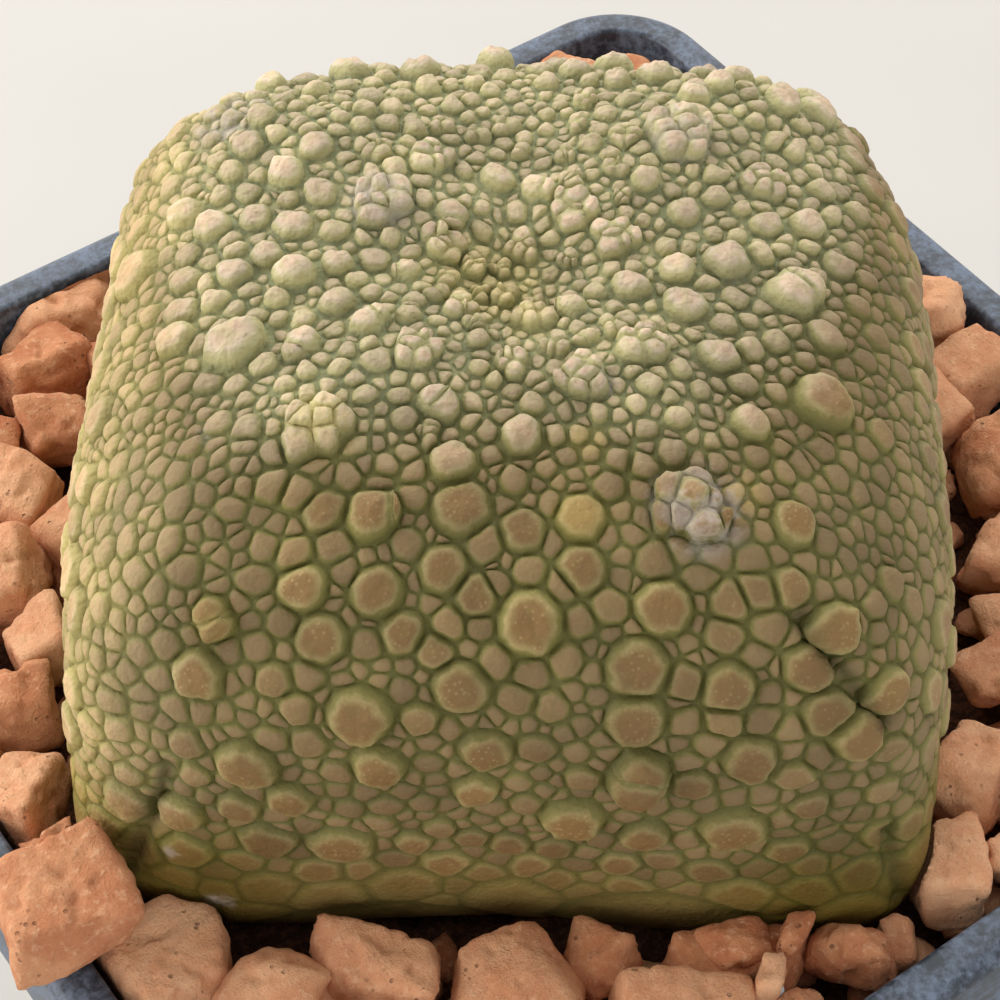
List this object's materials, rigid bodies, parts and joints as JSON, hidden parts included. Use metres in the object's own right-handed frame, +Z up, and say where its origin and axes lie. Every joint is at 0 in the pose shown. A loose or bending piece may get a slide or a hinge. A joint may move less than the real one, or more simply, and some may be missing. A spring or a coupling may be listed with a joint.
{
  "type": "potted pseudolithos",
  "caption": "Squat cube-shaped succulent with a warty grey-green skin, set in crushed clay gravel in a dark square plastic pot with a broad collar.",
  "frame": {"origin": "middle of the pot's foot, on the surface that the pot stands on", "axes": "+Z up along the pot's axis, +X and +Y square to the pot's sides; the plant's own front is turned 37 degrees clockwise from -Y, seen from above"},
  "size_m": [0.07, 0.07, 0.0881],
  "materials": {
    "dark_pot_plastic": "blue-black moulded plastic with a dull sheen, mottled with pale mineral bloom on the collar",
    "potting_soil": "dark gritty potting soil, matt",
    "crushed_clay": "crushed fired red clay, matt and fine-grained, with small pits",
    "pseudolithos_skin": "waxy plant skin, its tubercles tipped with beige-brown grains, the grooves dark green"
  },
  "bodies": {
    "root": {"pot": "dark_pot_plastic", "substrate": "potting_soil", "gravel": "crushed_clay", "pseudolithos": "pseudolithos_skin"}
  },
  "joints": []
}
